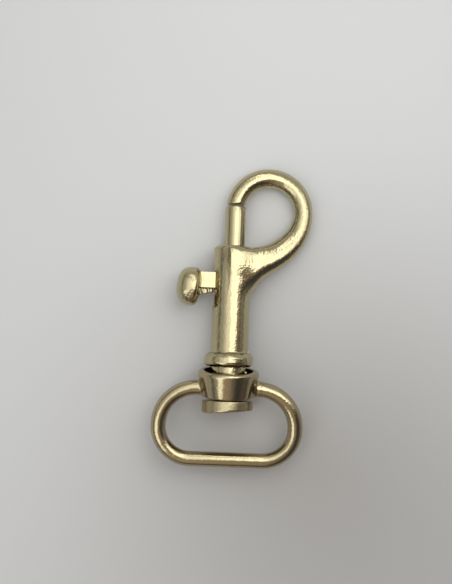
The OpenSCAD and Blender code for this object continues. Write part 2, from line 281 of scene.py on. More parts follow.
lit_tone = mix_colours(lit, calculate(lit, "MINIMUM", glow, 1.0), unlit_tone, LIGHT_TINT)
lit_glow = add_node(lit, "ShaderNodeEmission")
lit.links.new(lit_tone, lit_glow.inputs["Color"])
lit.links.new(calculate(lit, "MAXIMUM", glow, 1.0), lit_glow.inputs["Strength"])
lit_clear = add_node(lit, "ShaderNodeBsdfTransparent")
from_middle = add_node(lit, "ShaderNodeVectorMath", operation="LENGTH")
lit.links.new(lit_place.outputs["Object"], from_middle.inputs[0])
lit_choice = add_node(lit, "ShaderNodeMixShader")
lit.links.new(ramp(lit, from_middle.outputs["Value"], *SHEET_FADE), lit_choice.inputs["Fac"])
lit.links.new(lit_glow.outputs[0], lit_choice.inputs[1])
lit.links.new(lit_clear.outputs[0], lit_choice.inputs[2])
lit.links.new(lit_choice.outputs[0], lit.nodes["Material Output"].inputs["Surface"])
light_sheet.data.materials.append(glowing)

# Hook body
# One zinc die casting: curved hook arm, barrel, flange and neck, bored for the bolt and slotted for
# the stud. It is tumbled smooth and plated light gold, which leaves a fine ripple on every face.

# From here on sizes are in mm. Station 0 is the flange's top face, and the stations run up the barrel.
BARREL_R = 3.85
BARREL_TOP = 21.9
BARREL_EDGE = 0.6
BARREL_FILLET = 0.35
FLANGE_R = 5.015
FLANGE_H = 2.8
FLANGE_UPPER_EDGE, FLANGE_LOWER_EDGE = 1.25, 0.9
FLANGE_ASIDE = 0.1
# Unevenness of the flange's rim and of its faces: size, waves in a turn, and where they start
FLANGE_RIPPLE = ((0.05, 3, 0.6), (0.016, 8, 2.0))
FLANGE_DRIFT = ((0.06, 2, 1.0), (0.06, 9, 0.5), (0.03, 16, 0.0))
NECK_R = 3.5
NECK_END = -9.743
NECK_EDGE = 0.15
NECK_FILLET = 0.1
# How far the barrel runs down into the flange, and the neck up to below its top face
BARREL_IN_FLANGE, NECK_BELOW_TOP = 2.0, 1.0
# Two burrs left by the mould: place and size, then their length over their width, and their fillet
BURRS = ((3.85, 0.3, 0.9, 0.22), (3.45, -4.0, 1.1, 0.30))
BURR_STRETCH = 0.7
BURR_FILLET = 0.12
BOLT_ASIDE = 0.3
BORE_R = 2.225
BORE_EDGE = 0.25
SLOT_LOW, SLOT_TOP = 9.5, 16.55
SLOT_HALF = 1.6
SLOT_EDGE = 0.1
# Length by which a cutting tool runs past what it cuts
TOOL_PAST = 1.0
# The crown's bar meets the bolt's axis at TIP_RISE over the crown's centre, and ends a little short. It
# is drawn in by CROWN_INSIDE, so that it stays in the solids' box.
BAR_R = 1.95
CROWN_R = 7.12
CROWN_STATION = 29.5
CROWN_INSIDE = 0.002
TIP_RISE = 1.25
TIP_SHORT = 0.05
TIP_EDGE = 0.35
SHOULDER_R = 9.4
SHOULDER_ANGLE = math.radians(39)
# How far the arm's pieces overlap where the crown passes into the shoulder
CROWN_OVERLAP, SHOULDER_OVERLAP = 0.2, 0.5
# The arm swells on its outside and flares towards the barrel. Each span is a share of its length, and
# each late value is the power that delays a flare.
ARM_SWELL, SWELL_SPAN = 1.0, (0, 0.7)
ROOT_FILLET, FILLET_SPAN, FILLET_LATE = 9.1, (0.41, 1), 4.2
ROOT_DOWN, INNER_LATE = 3.9, 1.2
ROOT_HALF, BROAD_SPAN = 3.5, (0, 0.9)
# Power of the arm's oval section, 2 for a circle, and what its outer and inner side gain on it
ROUND = 2.0
OUTER_SQUARE, OUTER_SQUARE_START, OUTER_SQUARE_END = 0.7, (0, 0.35), (0.75, 1)
INNER_SQUARE, INNER_SQUARE_START = 3.0, (0.45, 0.9)
# Fillet between arm and barrel: its reach at the barrel's top edge, what it gains below that edge and
# on the crest over the saddle, and the share that it loses underneath. The spans are stations, or
# heights over the barrel's axis.
SADDLE, SADDLE_GAIN, SADDLE_SPAN = 0.5, 0.8, (20.5, 21.9)
CREST_GAIN, CREST_START, CREST_END, CREST_HEIGHT = 1.0, (15, 19), (20.9, 22.2), (0.5, 3.0)
SADDLE_LOSS, SADDLE_UNDER = 0.8, (1.5, 3.4)
# The box in which the body's net is made, and the size of the net's cells
BODY_BOX = ((-5.6, -10.4, -5.6), (17.0, 39.4, 5.6))
BODY_CELL = 0.165
# A net starts from a rough look at every fourth grid point, and a full one within nine cells of the
# surface. Its points are then moved onto the surface in three passes.
COARSE, NEAR_CELLS, PASSES = 4, 9, 3
# Steps over which the surface's slope is measured, for those passes and for the normals
PASS_REACH, NORMAL_REACH = 0.01, 0.02
# The least slope and the least part of a size that anything is divided by, and a distance far outside
LEAST_STEEP, LEAST_PART, FAR_OFF = 0.05, 1e-3, 9.0

swivel = next(joint for joint in frame["joints"] if joint["name"] == "swivel_turn")
hub_place = Vector(swivel["pos_m"])
barrel_way = Vector(swivel["axis"]).normalized()
hook_eye = next(mount for mount in frame["record"]["mounts"] if mount["name"] == "hook_eye")
body_roll = math.asin(hook_eye["axis"][0])
FLANGE_ABOVE_HUB = 8.2

crown = np.array([BOLT_ASIDE + math.sqrt(CROWN_R**2 - TIP_RISE**2), CROWN_STATION])
tip_station = CROWN_STATION + TIP_RISE - TIP_SHORT
shoulder = crown + (CROWN_R - SHOULDER_R, 0)
# The root bend goes on from the shoulder's end and meets the barrel's axis ROOT_DOWN below its top
inward = np.array([-math.cos(SHOULDER_ANGLE), math.sin(SHOULDER_ANGLE)])
shoulder_end = shoulder - SHOULDER_R * inward
to_axis = (0, BARREL_TOP - ROOT_DOWN) - shoulder_end
root_r = to_axis @ to_axis / (2 * to_axis @ inward)
root = shoulder_end + root_r * inward
root_angle = math.acos(-root[0] / root_r) - SHOULDER_ANGLE


def lie(along, station_zero, roll=0.0):
    """Matrix from mm along X, the given way and its upper side to metres in the row frame."""
    side = Vector((1, 0, 0))
    up = side.cross(along)
    turn = Matrix((side, along, up)).transposed().to_4x4()
    scale = Matrix.Scale(1 / MM_IN_M, 4)
    return Matrix.Translation(station_zero) @ turn @ Matrix.Rotation(roll, 4, "Y") @ scale


body_lie = lie(barrel_way, hub_place + barrel_way * FLANGE_ABOVE_HUB / MM_IN_M, body_roll)


def blend_union(a, b, reach):
    """Two solids run together with a soft fillet."""
    share = np.clip(0.5 + 0.5 * (b - a) / reach, 0, 1)
    return b + (a - b) * share - reach * share * (1 - share)


def blend_common(a, b, reach):
    """What two solids have in common, with its new edge rounded."""
    return -blend_union(-a, -b, reach)


def blend_cut(a, tool, reach):
    """A solid less a tool, with the cut's edges rounded."""
    return -blend_union(-a, tool, reach)


def turned_bar(r, y, low, high, radius, edge):
    """Round bar between two stations, with rounded edges."""
    out = r - (radius - edge)
    past = np.maximum(low + edge - y, y - (high - edge))
    return np.hypot(np.maximum(out, 0), np.maximum(past, 0)) + np.minimum(np.maximum(out, past), 0) - edge


def step_up(low, high, value):
    """0 below the low value, 1 above the high one, and a smooth change between them."""
    t = np.clip((value - low) / (high - low), 0, 1)
    return t * t * (3 - 2 * t)


def waves(angle, parts):
    """Sum of waves round a turn, each with its size, its number in the turn and its start."""
    return sum(size * np.sin(number * angle + start) for size, number, start in parts)


def mesh_piece(name, points, faces, place, normals=None):
    """Object with a smooth-shaded mesh, from points in mm and a matrix that lays them in the row frame."""
    turn = np.array(place)
    laid = points @ turn[:3, :3].T + turn[:3, 3]
    mesh = bpy.data.meshes.new(name)
    mesh.from_pydata(laid.tolist(), [], [list(map(int, f)) for f in faces])
    mesh.polygons.foreach_set("use_smooth", [True] * len(mesh.polygons))
    if normals is not None:
        away = normals @ turn[:3, :3].T
        away /= np.linalg.norm(away, axis=1)[:, None]
        mesh.normals_split_custom_set_from_vertices(away.tolist())
    piece = bpy.data.objects.new(name, mesh)
    bpy.context.scene.collection.objects.link(piece)
    return piece


def grid_values(solid, low, count, cell):
    """The solid's field at a grid's points, exact near its surface and rough elsewhere."""
    axes = [low[i] + cell * np.arange(count[i] + 1) for i in range(3)]
    coarse = solid(*np.meshgrid(*[a[::COARSE] for a in axes], indexing="ij"))
    nearest = [np.minimum((np.arange(n + 1) + COARSE // 2) // COARSE, n // COARSE) for n in count]
    value = coarse[np.ix_(*nearest)]
    near = np.nonzero(np.abs(value) < NEAR_CELLS * cell)
    value[near] = solid(*[axes[i][near[i]] for i in range(3)])
    return value


def crossed_cells(value):
    """A point in each cell that the surface crosses, counted in cells, and the number of each cell."""
    inside = value < 0
    corners = [(i, j, k) for i in (0, 1) for j in (0, 1) for k in (0, 1)]
    full = np.zeros([n - 1 for n in value.shape], np.int8)
    for corner in corners:
        full += inside[tuple(slice(c, n - 1 + c) for c, n in zip(corner, value.shape))]
    crossed = np.nonzero((full > 0) & (full < len(corners)))
    number = np.full(full.shape, -1)
    number[crossed] = np.arange(len(crossed[0]))
    total = np.zeros((len(crossed[0]), 3))
    hits = np.zeros(len(crossed[0]))
    for a in corners:
        for axis in range(3):
            if a[axis]:
                continue
            b = tuple(a[i] + (i == axis) for i in range(3))
            value_a = value[tuple(crossed[i] + a[i] for i in range(3))]
            value_b = value[tuple(crossed[i] + b[i] for i in range(3))]
            cut = (value_a < 0) != (value_b < 0)
            share = np.where(cut, value_a / np.where(cut, value_a - value_b, 1), 0)
            for i in range(3):
                total[:, i] += cut * (a[i] + (share if i == axis else 0))
            hits += cut
    return np.array(crossed).T + total / hits[:, None], number


def quads_between(inside, number):
    """A quad round each grid edge that the surface crosses, from the numbers of the four cells there."""
    quads = []
    for axis in range(3):
        u, v = (axis + 1) % 3, (axis + 2) % 3
        start = [slice(1, n) for n in number.shape]
        start[axis] = slice(0, number.shape[axis])
        after = list(start)
        after[axis] = slice(1, number.shape[axis] + 1)
        here, there = inside[tuple(start)], inside[tuple(after)]
        edges = np.nonzero(here != there)
        outward = here[edges]
        base = np.array(edges) + np.array([[int(axis != n)] for n in range(3)])
        ring = []
        for du, dv in ((1, 1), (0, 1), (0, 0), (1, 0)):
            at = base.copy()
            at[u] -= du
            at[v] -= dv
            ring.append(number[tuple(at)])
        ring = np.stack(ring, 1)
        ring[~outward] = ring[~outward][:, ::-1]
        quads.append(ring)
    return np.concatenate(quads)


def slope(solid, points, reach):
    """How fast the solid's field rises along each axis."""
    parts = []
    for axis in range(3):
        step = reach * (np.arange(3) == axis)
        parts.append((solid(*(points + step).T) - solid(*(points - step).T)) / (2 * reach))
    return np.stack(parts, 1)


def cast_skin(name, solid, box, cell, place):
    """Smooth mesh of the surface where solid(x, y, z) is 0, as one net of quads set exactly on it."""
    low, high = np.array(box, float)
    count = (np.ceil((high - low) / cell / COARSE) * COARSE).astype(int)
    value = grid_values(solid, low, count, cell)
    points, number = crossed_cells(value)
    points = low + cell * points
    for _ in range(PASSES):
        rise = slope(solid, points, PASS_REACH)
        step = (solid(*points.T) / np.maximum((rise * rise).sum(1), LEAST_STEEP))[:, None] * rise
        points -= np.clip(step, -cell / 2, cell / 2)
    normals = slope(solid, points, NORMAL_REACH)
    normals /= np.linalg.norm(normals, axis=1)[:, None] + 1e-9
    return mesh_piece(name, points, quads_between(value < 0, number), place, normals)


def arm_field(x, y, z):
    """The arm from the crown's right side, round the shoulder and down into the barrel."""
    bend = SHOULDER_R * SHOULDER_ANGLE
    length = bend + root_r * root_angle
    on_shoulder = np.arctan2(shoulder[1] - y, x - shoulder[0])
    on_root = np.arctan2(root[1] - y, x - root[0])
    upper = on_shoulder < SHOULDER_ANGLE
    run = np.where(upper, SHOULDER_R * on_shoulder, bend + root_r * (on_root - SHOULDER_ANGLE))
    out = np.where(
        upper,
        np.hypot(x - shoulder[0], y - shoulder[1]) - SHOULDER_R,
        np.hypot(x - root[0], y - root[1]) - root_r,
    )
    u = np.clip(run / length, 0, 1)
    swell = ARM_SWELL * step_up(*SWELL_SPAN, u)
    fillet = (ROOT_FILLET - BAR_R - ARM_SWELL) * step_up(*FILLET_SPAN, u) ** FILLET_LATE
    inner = BAR_R + (ROOT_DOWN - BAR_R) * u**INNER_LATE
    wide = np.where(out > 0, BAR_R + swell + fillet, inner)
    deep = BAR_R + (ROOT_HALF - BAR_R) * step_up(*BROAD_SPAN, u)
    outer_gain = OUTER_SQUARE * step_up(*OUTER_SQUARE_START, u) * (1 - step_up(*OUTER_SQUARE_END, u))
    power = ROUND + np.where(out > 0, outer_gain, INNER_SQUARE * step_up(*INNER_SQUARE_START, u))
    across, thick = np.abs(out) / wide, np.abs(z) / deep
    near = np.maximum((across**power + thick**power) ** (1 / power), LEAST_PART)
    steep = np.hypot(across ** (power - 1) / wide, thick ** (power - 1) / deep) / near ** (power - 1)
    tube = np.maximum((near - 1) / np.maximum(steep, LEAST_STEEP), -x)
    behind = (on_shoulder < 0) & (x > shoulder[0])
    return np.where(behind | (y > shoulder[1] + SHOULDER_OVERLAP), FAR_OFF, tube)


def crown_field(x, y, z):
    """The round bar of the crown, from the shoulder over the top to the flat end over the bolt."""
    ring = np.hypot(np.hypot(x - crown[0], y - crown[1]) - (CROWN_R - CROWN_INSIDE), z) - BAR_R
    end = np.where(x < crown[0], tip_station - y, crown[1] - CROWN_OVERLAP - y)
    return np.where(x < crown[0], blend_common(ring, end, TIP_EDGE), np.maximum(ring, end))


def barrel_field(x, y, z):
    """Barrel, uneven flange and neck, turned about the barrel's axis, and the burrs on them."""
    r = np.hypot(x, z)
    angle = np.arctan2(z, x)
    rim = FLANGE_R + waves(angle, FLANGE_RIPPLE)
    drift = waves(angle, FLANGE_DRIFT)
    edge = np.where(y < -FLANGE_H / 2, FLANGE_LOWER_EDGE, FLANGE_UPPER_EDGE)
    barrel = turned_bar(r, y, -BARREL_IN_FLANGE, BARREL_TOP, BARREL_R, BARREL_EDGE)
    flange = turned_bar(np.hypot(x + FLANGE_ASIDE, z), y - drift, -FLANGE_H, 0, rim, edge)
    neck = turned_bar(r, y, NECK_END, -NECK_BELOW_TOP, NECK_R, NECK_EDGE)
    body = blend_union(blend_union(barrel, flange, BARREL_FILLET), neck, NECK_FILLET)
    for burr_x, burr_y, burr_z, size in BURRS:
        burr = np.hypot(np.hypot(x - burr_x, BURR_STRETCH * (y - burr_y)), z - burr_z) - size
        body = blend_union(body, burr, BURR_FILLET)
    return body


def hook_field(x, y, z):
    """The whole body, bored and slotted."""
    crest = step_up(*CREST_START, y) * (1 - step_up(*CREST_END, y)) * step_up(*CREST_HEIGHT, z)
    reach = SADDLE + SADDLE_GAIN * (1 - step_up(*SADDLE_SPAN, y)) + CREST_GAIN * crest
    reach = reach * (1 - SADDLE_LOSS * step_up(*SADDLE_UNDER, -z))
    arm = np.minimum(arm_field(x, y, z), crown_field(x, y, z))
    solid = blend_union(barrel_field(x, y, z), arm, reach)
    bore = np.maximum(np.hypot(x - BOLT_ASIDE, z) - BORE_R, y - BARREL_TOP - TOOL_PAST)
    slot = np.maximum(np.maximum(SLOT_LOW - y, y - SLOT_TOP), np.maximum(np.abs(z) - SLOT_HALF, x))
    return blend_cut(blend_cut(solid, bore, BORE_EDGE), slot, SLOT_EDGE)


hook_body = cast_skin("hook_body", hook_field, BODY_BOX, BODY_CELL, body_lie)
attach(hook_body, "hook")
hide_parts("hook_body")

PLATING = (0.50, 0.443, 0.27, 1)
TARNISH = (0.37, 0.28, 0.16, 1)
FLANK_TONE = (0.42, 0.335, 0.215, 1)
# Noise, with its scale per metre: ripple of the casting, grain of the plating, slow drift of its tone
RIPPLE_NOISE = {"Scale": 700.0, "Detail": 2.0, "Roughness": 0.5}
GRAIN_NOISE = {"Scale": 2400.0, "Detail": 1.0, "Roughness": 0.5}
DRIFT_NOISE = {"Scale": 260.0, "Detail": 4.0, "Roughness": 0.6}
# Polishing streaks, drawn out along the hook
STREAK_SCALE = (2500.0, 900.0, 2500.0)
STREAK_NOISE = {"Scale": 1.0, "Detail": 1.0, "Roughness": 0.5}
# Drift at which the tarnish sets in and is full
TARNISH_SPAN = (0.52, 0.72)
# A flank browns as its normal turns level, sooner or later with the drift's share in it
FLANK_SPAN = (1.22, 0.9)
FLANK_DRIFT = 0.5
ROUGH_DRIFT = 0.12
# Height of the bumps in metres
BUMP_DEPTH = 0.00002


def noise(tree, vector, settings):
    """Noise over a place that another node gives."""
    texture = add_node(tree, "ShaderNodeTexNoise", **settings)
    feed(tree, texture.inputs["Vector"], vector)
    return texture.outputs["Fac"]


def make_cast_ripple():
    """Group: plated casting. Gives a colour that drifts and browns on the flanks, the faces whose
    normal turns level, a roughness that varies, and a height for ripple, grain and polishing streaks."""
    tree = bpy.data.node_groups.new("cast_ripple", "ShaderNodeTree")
    for name, kind, value in (
        ("Plating", "NodeSocketColor", PLATING),
        ("Tarnish", "NodeSocketColor", TARNISH),
        ("Tarnish Amount", "NodeSocketFloat", 0.3),
        ("Polish", "NodeSocketFloat", 0.06),
        ("Ripple", "NodeSocketFloat", 1.0),
        ("Grain", "NodeSocketFloat", 1.0),
        ("Streak", "NodeSocketFloat", 0.0),
        ("Flank", "NodeSocketFloat", 0.0),
        ("Flank Tone", "NodeSocketColor", FLANK_TONE),
    ):
        socket = tree.interface.new_socket(name, in_out="INPUT", socket_type=kind)
        socket.default_value = value
    for name, kind in (
        ("Color", "NodeSocketColor"),
        ("Roughness", "NodeSocketFloat"),
        ("Height", "NodeSocketFloat"),
    ):
        tree.interface.new_socket(name, in_out="OUTPUT", socket_type=kind)
    given = add_node(tree, "NodeGroupInput")
    place = add_node(tree, "ShaderNodeTexCoord")
    over_piece = place.outputs["Object"]
    ripple = noise(tree, over_piece, RIPPLE_NOISE)
    grain = noise(tree, over_piece, GRAIN_NOISE)
    drift = noise(tree, over_piece, DRIFT_NOISE)
    stretched = add_node(tree, "ShaderNodeMapping", Scale=STREAK_SCALE)
    tree.links.new(over_piece, stretched.inputs["Vector"])
    streaks = noise(tree, stretched.outputs["Vector"], STREAK_NOISE)
    height = 0.0
    for texture, amount in ((ripple, "Ripple"), (grain, "Grain"), (streaks, "Streak")):
        height = calculate(tree, "MULTIPLY_ADD", texture, given.outputs[amount], height)

    patch = ramp(tree, drift, *TARNISH_SPAN, "LINEAR")
    tarnished = calculate(tree, "MULTIPLY", patch, given.outputs["Tarnish Amount"])
    colour = mix_colours(tree, tarnished, given.outputs["Plating"], given.outputs["Tarnish"])
    facing = add_node(tree, "ShaderNodeSeparateXYZ")
    tree.links.new(place.outputs["Normal"], facing.inputs[0])
    upright = calculate(tree, "ABSOLUTE", facing.outputs["Z"])
    upright_with_drift = calculate(tree, "MULTIPLY_ADD", drift, FLANK_DRIFT, upright)
    browned = calculate(tree, "MULTIPLY", ramp(tree, upright_with_drift, *FLANK_SPAN, "LINEAR"), given.outputs["Flank"])
    colour = mix_colours(tree, browned, colour, given.outputs["Flank Tone"])
    roughness = calculate(tree, "MULTIPLY_ADD", drift, ROUGH_DRIFT, given.outputs["Polish"])

    result = add_node(tree, "NodeGroupOutput")
    tree.links.new(colour, result.inputs["Color"])
    tree.links.new(roughness, result.inputs["Roughness"])
    tree.links.new(height, result.inputs["Height"])
    return tree


cast_ripple = make_cast_ripple()


def plated(name, tarnish=0.3, polish=0.05, ripple=1.0, grain=1.0, streak=0.0, flank=0.0):
    """Material of a plated casting, from the cast ripple group."""
    material, tree = new_material(name)
    shader = tree.nodes["Principled BSDF"]
    shader.inputs["Metallic"].default_value = 1.0
    group = add_node(tree, "ShaderNodeGroup", node_tree=cast_ripple)
    for key, value in (
        ("Tarnish Amount", tarnish),
        ("Polish", polish),
        ("Ripple", ripple),
        ("Grain", grain),
        ("Streak", streak),
        ("Flank", flank),
    ):
        group.inputs[key].default_value = value
    bump = add_node(tree, "ShaderNodeBump", Strength=1.0, Distance=BUMP_DEPTH)
    tree.links.new(group.outputs["Color"], shader.inputs["Base Color"])
    tree.links.new(group.outputs["Roughness"], shader.inputs["Roughness"])
    tree.links.new(group.outputs["Height"], bump.inputs["Height"])
    tree.links.new(bump.outputs["Normal"], shader.inputs["Normal"])
    return material


hook_body.data.materials.append(plated("body_plating", ripple=0.7, grain=1.4, streak=1.5))

# Bolt
# Turned or cast round plunger, plated like the body. It slides in the bore, and its rounded tip meets
# the hook's flat end.
BOLT_R = 2.15
BOLT_LOW, BOLT_TIP = 12.0, 30.36
BOLT_TIP_EDGE = 0.4
BOLT_TAIL_EDGE = 0.25
TURNED_SIDES = 128
CORNER_STEPS = 8
SHAFT_STEPS = 12


def ring_faces(first, rings, sides):
    """Quads between rings of points that follow one another, from the number of their first point."""
    return [
        (
            first + i * sides + k,
            first + i * sides + (k + 1) % sides,
            first + (i + 1) * sides + (k + 1) % sides,
            first + (i + 1) * sides + k,
        )
        for i in range(rings - 1)
        for k in range(sides)
    ]


def turned_piece(name, profile, place, aside):
    """Solid turned about the Y axis from a profile of (radius, station) with both ends on the axis."""
    n = TURNED_SIDES
    angles = 2 * np.pi * np.arange(n) / n
    points = [(aside, profile[0][1], 0.0)]
    for r, y in profile[1:-1]:
        points += [(aside + r * math.cos(a), y, -r * math.sin(a)) for a in angles]
    points.append((aside, profile[-1][1], 0.0))
    last = len(points) - 1
    faces = [(0, 1 + (k + 1) % n, 1 + k) for k in range(n)]
    faces += ring_faces(1, len(profile) - 2, n)
    faces += [(last, last - n + k, last - n + (k + 1) % n) for k in range(n)]
    return mesh_piece(name, np.array(points), faces, place)


def round_corner(centre_r, centre_y, radius, start, end):
    """Points of a rounded corner in a turned profile, from one angle to another in degrees."""
    angles = np.radians(np.linspace(start, end, CORNER_STEPS))
    return [(centre_r + radius * math.cos(a), centre_y + radius * math.sin(a)) for a in angles]


shaft_low, shaft_top = BOLT_LOW + BOLT_TAIL_EDGE, BOLT_TIP - BOLT_TIP_EDGE
bolt_profile = [(0, BOLT_LOW)]
bolt_profile += round_corner(BOLT_R - BOLT_TAIL_EDGE, shaft_low, BOLT_TAIL_EDGE, -90, 0)
bolt_profile += [(BOLT_R, y) for y in np.linspace(shaft_low, shaft_top, SHAFT_STEPS + 2)[1:-1]]
bolt_profile += round_corner(BOLT_R - BOLT_TIP_EDGE, shaft_top, BOLT_TIP_EDGE, 0, 90)
bolt_profile += [(0, BOLT_TIP)]
bolt = turned_piece("bolt", bolt_profile, body_lie, BOLT_ASIDE)
bolt.data.materials.append(plated("bolt_plating", tarnish=0.2, polish=0.04, ripple=0.5, grain=0.6))
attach(bolt, "bolt")
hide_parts("bolt")

# Thumb stud
# A cast stud: square shank through the slot, and an oval domed button for the thumb, with a rough web
# left by the casting under the shank. Its tenon is pressed into the bolt.
SHANK_LOW, SHANK_TOP = 13.1, 16.5
SHANK_HALF = 1.5
SHANK_IN, SHANK_OUT = 1.9, 7.5
SHANK_EDGE = 0.15
SHANK_FILLET = 0.15
BUTTON_PLACE = (-8.07, 13.4)
BUTTON_DOME, BUTTON_BACK = 3.25, 1.65
BUTTON_HALF = (4.0, 3.8)
BUTTON_LEAN = math.radians(5)
# Powers of the button's oval outline, its dome and its back, 2 for an ellipse
RIM_POWER, DOME_POWER, BACK_POWER = 2.25, 2.6, 2.7
# Scars on the button's lower right, and the spans over which they set in: below its middle, towards
# the barrel and upward
SCAR_DEPTH = 0.03
SCAR_BELOW, SCAR_INWARD, SCAR_UP = (0.9, 2.4), (-3.0, -1.0), (0.5, 2.0)
# Waves that make up the scars: wave numbers per mm along x, y and z, and start. The fine one is half
# as deep as the other two together.
SCAR_ACROSS, SCAR_SLANT, SCAR_FINE = (4.3, 0, 2.1, 1.0), (0, -7.4, 7.1, 0), (3.7, 9.3, 0, 0)
SCAR_FINE_PART = 0.5
# The web starts WEB_START from the barrel's axis and hangs lower towards the button
WEB_HALF = 0.9
WEB_START, WEB_LENGTH = 4.1, 3.6
WEB_DROP, WEB_DEEPER = 0.6, 0.9
WEB_OUTSET = 0.1
# The web's rough skin: size of its lumps and of its grain, and the waves that make them up
WEB_LUMPS, WEB_GRAIN = 0.10, 0.06
WEB_LUMP_WAVES = ((5.1, 0, 1.3, 0), (0, 2, 4.3, 0))
WEB_GRAIN_WAVE = (9.7, 0, -5, 0)
WEB_FILLET = 0.3
STUD_BOX = ((-11.8, 8.8, -4.3), (-1.4, 18.0, 4.3))
STUD_CELL = 0.09

shank_middle = (SHANK_LOW + SHANK_TOP) / 2


def wave(x, y, z, numbers):
    """Plane wave through a solid, from its wave numbers along the three axes and its start."""
    return np.sin(numbers[0] * x + numbers[1] * y + numbers[2] * z + numbers[3])


def shank_field(x, y, z):
    """Square bar with rounded edges."""
    apart = [
        np.abs(x + (SHANK_IN + SHANK_OUT) / 2) - (SHANK_OUT - SHANK_IN) / 2 + SHANK_EDGE,
        np.abs(y - shank_middle) - (SHANK_TOP - SHANK_LOW) / 2 + SHANK_EDGE,
        np.abs(z) - SHANK_HALF + SHANK_EDGE,
    ]
    beyond = np.sqrt(sum(np.maximum(a, 0) ** 2 for a in apart))
    return beyond + np.minimum(np.maximum(np.maximum(apart[0], apart[1]), apart[2]), 0) - SHANK_EDGE


def button_field(x, y, z):
    """Oval button, fuller than an ellipsoid, that leans a little and is scarred."""
    right, up = x - BUTTON_PLACE[0], y - BUTTON_PLACE[1]
    c, s = math.cos(BUTTON_LEAN), math.sin(BUTTON_LEAN)
    inward = right * c - up * s
    deep = np.where(inward < 0, BUTTON_DOME, BUTTON_BACK)
    face = np.where(inward < 0, DOME_POWER, BACK_POWER)
    part_x = np.abs(inward / deep)
    part_y, part_z = np.abs((right * s + up * c) / BUTTON_HALF[0]), np.abs(z / BUTTON_HALF[1])
    around = np.maximum((part_y**RIM_POWER + part_z**RIM_POWER) ** (1 / RIM_POWER), LEAST_PART)
    near = np.maximum((around**face + part_x**face) ** (1 / face), LEAST_PART)
    rim = (around / near) ** (face - 1)
    steep_x = (part_x / near) ** (face - 1) / deep
    steep_y = rim * (part_y / around) ** (RIM_POWER - 1) / BUTTON_HALF[0]
    steep_z = rim * (part_z / around) ** (RIM_POWER - 1) / BUTTON_HALF[1]
    button = (near - 1) / np.maximum(np.sqrt(steep_x**2 + steep_y**2 + steep_z**2), LEAST_STEEP)
    scarred = step_up(*SCAR_BELOW, -up) * step_up(*SCAR_INWARD, inward) * step_up(*SCAR_UP, z)
    scars = wave(x, y, z, SCAR_ACROSS) * wave(x, y, z, SCAR_SLANT)
    scars = scars + SCAR_FINE_PART * wave(x, y, z, SCAR_FINE)
    return button + SCAR_DEPTH * scarred * scars


def web_field(x, y, z):
    """Rough web between shank and button."""
    rough = WEB_LUMPS * wave(x, y, z, WEB_LUMP_WAVES[0]) * wave(x, y, z, WEB_LUMP_WAVES[1])
    rough = rough + WEB_GRAIN * wave(x, y, z, WEB_GRAIN_WAVE)
    drop = WEB_DROP + WEB_DEEPER * np.clip((-x - WEB_START) / WEB_LENGTH, 0, 1)
    web = np.maximum(np.abs(z) - WEB_HALF, SHANK_LOW - drop - y)
    ends = np.maximum(x + WEB_START, -x - SHANK_OUT)
    return np.maximum(web, np.maximum(y - shank_middle, ends)) - WEB_OUTSET + rough


def stud_field(x, y, z):
    """Shank, button and web in one."""
    stud = blend_union(shank_field(x, y, z), button_field(x, y, z), SHANK_FILLET)
    return blend_union(stud, web_field(x, y, z), WEB_FILLET)


thumb_stud = cast_skin("thumb_stud", stud_field, STUD_BOX, STUD_CELL, body_lie)
thumb_stud.data.materials.append(
    plated("stud_plating", tarnish=0.25, polish=0.10, ripple=0.8, grain=1.6, flank=0.1)
)
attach(thumb_stud, "bolt")
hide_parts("thumb_stud")

# Bolt spring
# Compression spring of 0.5 mm steel wire in the bore, between the rivet's shank and the bolt. Its two
# end turns lie closed. The real spring shortens as the bolt is pulled back; this mesh keeps its rest
# length.
SPRING_LOW, SPRING_TOP = -1.4, 11.9
SPRING_R = 1.7
WIRE_R = 0.25
OPEN_TURNS = 8
CLOSED_TURNS = 1
# Step of a closed turn, in wire diameters
CLOSED_STEP = 1.15
TURN_STEPS = 36
WIRE_SIDES = 12
STEEL_DARK = (0.38, 0.37, 0.35, 1)
STEEL_PALE = (0.62, 0.61, 0.58, 1)
STEEL_ROUGH = 0.3
STEEL_NOISE = {"Scale": 900.0, "Detail": 3.0}

closed_pitch = CLOSED_STEP * 2 * WIRE_R
total_turns = OPEN_TURNS + 2 * CLOSED_TURNS
open_pitch = (SPRING_TOP - SPRING_LOW - 2 * WIRE_R - 2 * CLOSED_TURNS * closed_pitch) / OPEN_TURNS
spring_rings = total_turns * TURN_STEPS + 1
spring_points = []
for i in range(spring_rings):
    turn = i / TURN_STEPS
    opened = min(OPEN_TURNS, max(0, turn - CLOSED_TURNS))
    rise = SPRING_LOW + WIRE_R + opened * open_pitch + (turn - opened) * closed_pitch
    angle = 2 * math.pi * turn
    for k in range(WIRE_SIDES):
        side = 2 * math.pi * k / WIRE_SIDES
        out = SPRING_R + WIRE_R * math.cos(side)
        spring_points.append(
            (BOLT_ASIDE + out * math.cos(angle), rise - WIRE_R * math.sin(side), out * math.sin(angle))
        )
spring_faces = ring_faces(0, spring_rings, WIRE_SIDES)
spring_faces.append(tuple(range(WIRE_SIDES - 1, -1, -1)))
spring_faces.append(tuple((spring_rings - 1) * WIRE_SIDES + k for k in range(WIRE_SIDES)))
bolt_spring = mesh_piece("bolt_spring", np.array(spring_points), spring_faces, body_lie)

